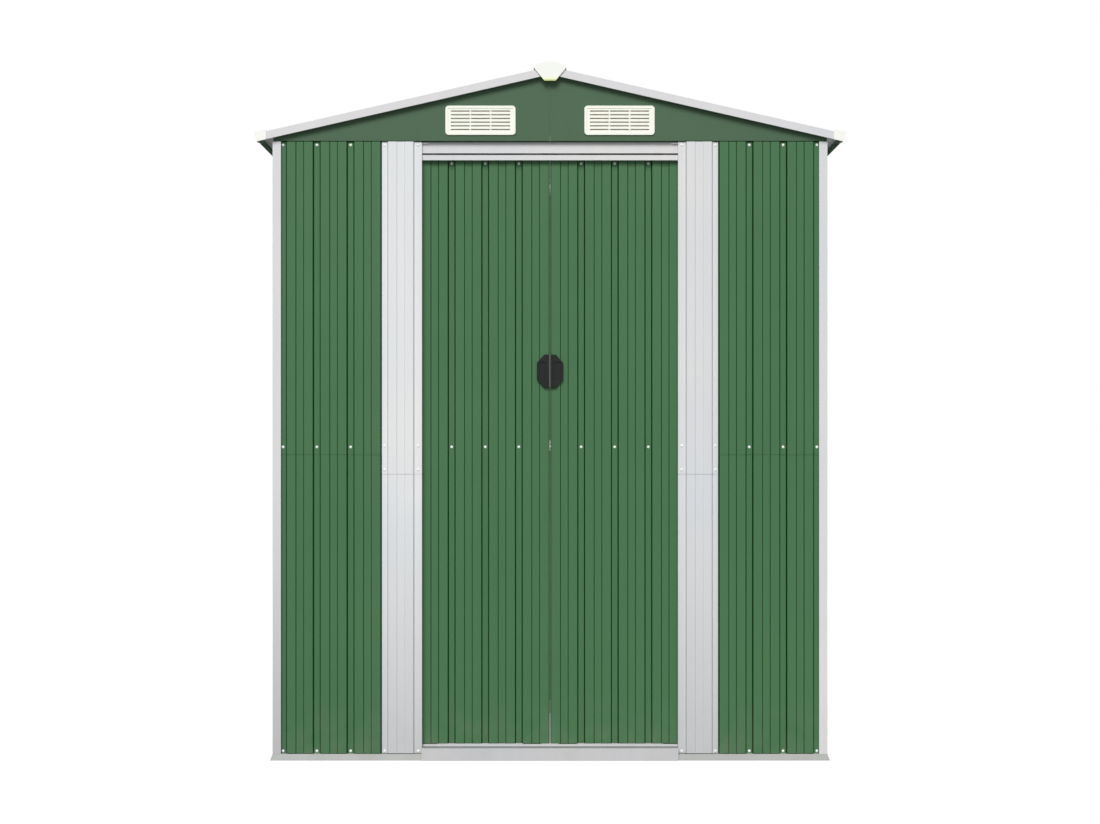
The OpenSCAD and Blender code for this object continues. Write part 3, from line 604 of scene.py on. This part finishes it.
louvres("louvres_front", FRONT, "vents_front")
louvres("louvres_rear", REAR, "vents_rear")
track_tabs()
handle_buffer()
for side in ("left", "right"):
    edge_fold(side)


# ---------------------------------------------------------------- studio

FLOOR_HALF = 30.0
FLOOR_GREY = 0.16
FLOOR_GLOW = 0.90
INNER_GLOW = 0.35
FOOTPRINT_INSET = 0.01
WORLD_LEVEL = 0.30
PURE_WHITE = colour(1, 1, 1)
# Name, place, what it points at, width and height, and watts.
AREA_LAMPS = [
    ("front_fill", (0.3, -6.5, 1.2), (0, -0.5, 1.0), (2.5, 2.0), 35),
    ("right_fill", (6.0, 1.2, 2.6), (0.9, 0, 1.0), (3.0, 3.0), 90),
    ("left_fill", (-6.0, 1.2, 2.6), (-0.9, 0, 1.0), (3.0, 3.0), 70),
    ("rear_fill", (0.8, 6.0, 3.2), (0, 0.5, 1.1), (3.0, 3.0), 150),
    ("inner_fill", (0, -0.40, 1.0), (0, 0.5, 1.0), (0.5, 1.8), 10.0),
]


def floor_material():
    """Pale floor that keeps the shed's shadow. It looks white, and darker within the shed's footprint."""
    made = bpy.data.materials.new("floor")
    made.use_nodes = True
    tree = made.node_tree
    tree.nodes.clear()
    place = node(tree, "TexCoord").outputs["Object"]
    off_x = maths(tree, "ABSOLUTE", part(tree, place, X_AXIS))
    off_y = maths(tree, "ABSOLUTE", part(tree, place, Y_AXIS))
    inside_x = maths(tree, "LESS_THAN", off_x, HALF_W - FOOTPRINT_INSET)
    inside_y = maths(tree, "LESS_THAN", off_y, HALF_D - FOOTPRINT_INSET)
    outside = maths(tree, "SUBTRACT", 1.0, maths(tree, "MULTIPLY", inside_x, inside_y))
    glow = maths(tree, "MULTIPLY", seen(tree), spread(tree, outside, 0.0, 1.0, INNER_GLOW, FLOOR_GLOW))
    lit = node(tree, "Emission", None, Color=PURE_WHITE, Strength=glow).outputs[0]
    grey = colour(FLOOR_GREY, FLOOR_GREY, FLOOR_GREY)
    plain = node(tree, "BsdfDiffuse", None, Color=grey).outputs[0]
    both = node(tree, "AddShader", None, _0=plain, _1=lit).outputs[0]
    node(tree, "OutputMaterial", None, Surface=both)
    return made


def build_floor(half):
    mesh = bpy.data.meshes.new("studio_floor")
    corners = [(-half, -half, 0), (half, -half, 0), (half, half, 0), (-half, half, 0)]
    mesh.from_pydata(corners, [], [(0, 1, 2, 3)])
    mesh.materials.append(floor_material())
    floor = bpy.data.objects.new("studio_floor", mesh)
    bpy.context.scene.collection.objects.link(floor)


def build_world(level):
    """White to the eye and in gloss, and a level light for everything else."""
    world = bpy.data.worlds.new("studio")
    world.use_nodes = True
    tree = world.node_tree
    tree.nodes.clear()
    strength = spread(tree, seen(tree), 0.0, 1.0, level, 1.0)
    light = node(tree, "Background", None, Color=PURE_WHITE, Strength=strength).outputs[0]
    node(tree, "OutputWorld", None, Surface=light)
    bpy.context.scene.world = world


def area_lamp(name, at, towards, size, watts):
    """A rectangular lamp that lights the shed but doesn't show, by itself or in gloss."""
    data = bpy.data.lights.new(name, "AREA")
    data.shape = "RECTANGLE"
    data.size, data.size_y = size
    data.energy = watts
    lamp = bpy.data.objects.new(name, data)
    lamp.location = at
    lamp.rotation_euler = (Vector(towards) - Vector(at)).to_track_quat("-Z", "Y").to_euler()
    lamp.visible_camera = False
    lamp.visible_glossy = False
    bpy.context.scene.collection.objects.link(lamp)


def soft_sun(name, azimuth, elevation, width, strength):
    """A far lamp, width degrees wide. Its light comes from an azimuth, 0 at the front, and an elevation."""
    data = bpy.data.lights.new(name, "SUN")
    data.energy = strength
    data.angle = math.radians(width)
    lamp = bpy.data.objects.new(name, data)
    turn, lift = math.radians(azimuth), math.radians(elevation)
    source = Vector((math.sin(turn) * math.cos(lift), -math.cos(turn) * math.cos(lift), math.sin(lift)))
    lamp.rotation_euler = (-source).to_track_quat("-Z", "Y").to_euler()
    bpy.context.scene.collection.objects.link(lamp)


build_floor(FLOOR_HALF)
build_world(WORLD_LEVEL)
soft_sun("key", azimuth=-8, elevation=37, width=28, strength=2.5)
for lamp in AREA_LAMPS:
    area_lamp(*lamp)


# ---------------------------------------------------------------- camera

CAMERA_DISTANCE = 6.0
CAMERA_Z = 1.054
LENS_MM = 60.4
SENSOR_MM = 36.0
SHIFT_UP = 0.0218

camera_data = bpy.data.cameras.new("camera")
camera_data.lens = LENS_MM
camera_data.sensor_width = SENSOR_MM
camera_data.shift_y = SHIFT_UP
camera = bpy.data.objects.new("camera", camera_data)
camera.location = (0, -HALF_D - CAMERA_DISTANCE, CAMERA_Z)
camera.rotation_euler = (math.radians(90), 0, 0)
bpy.context.scene.collection.objects.link(camera)
bpy.context.scene.camera = camera
bpy.context.scene.view_settings.view_transform = "Standard"
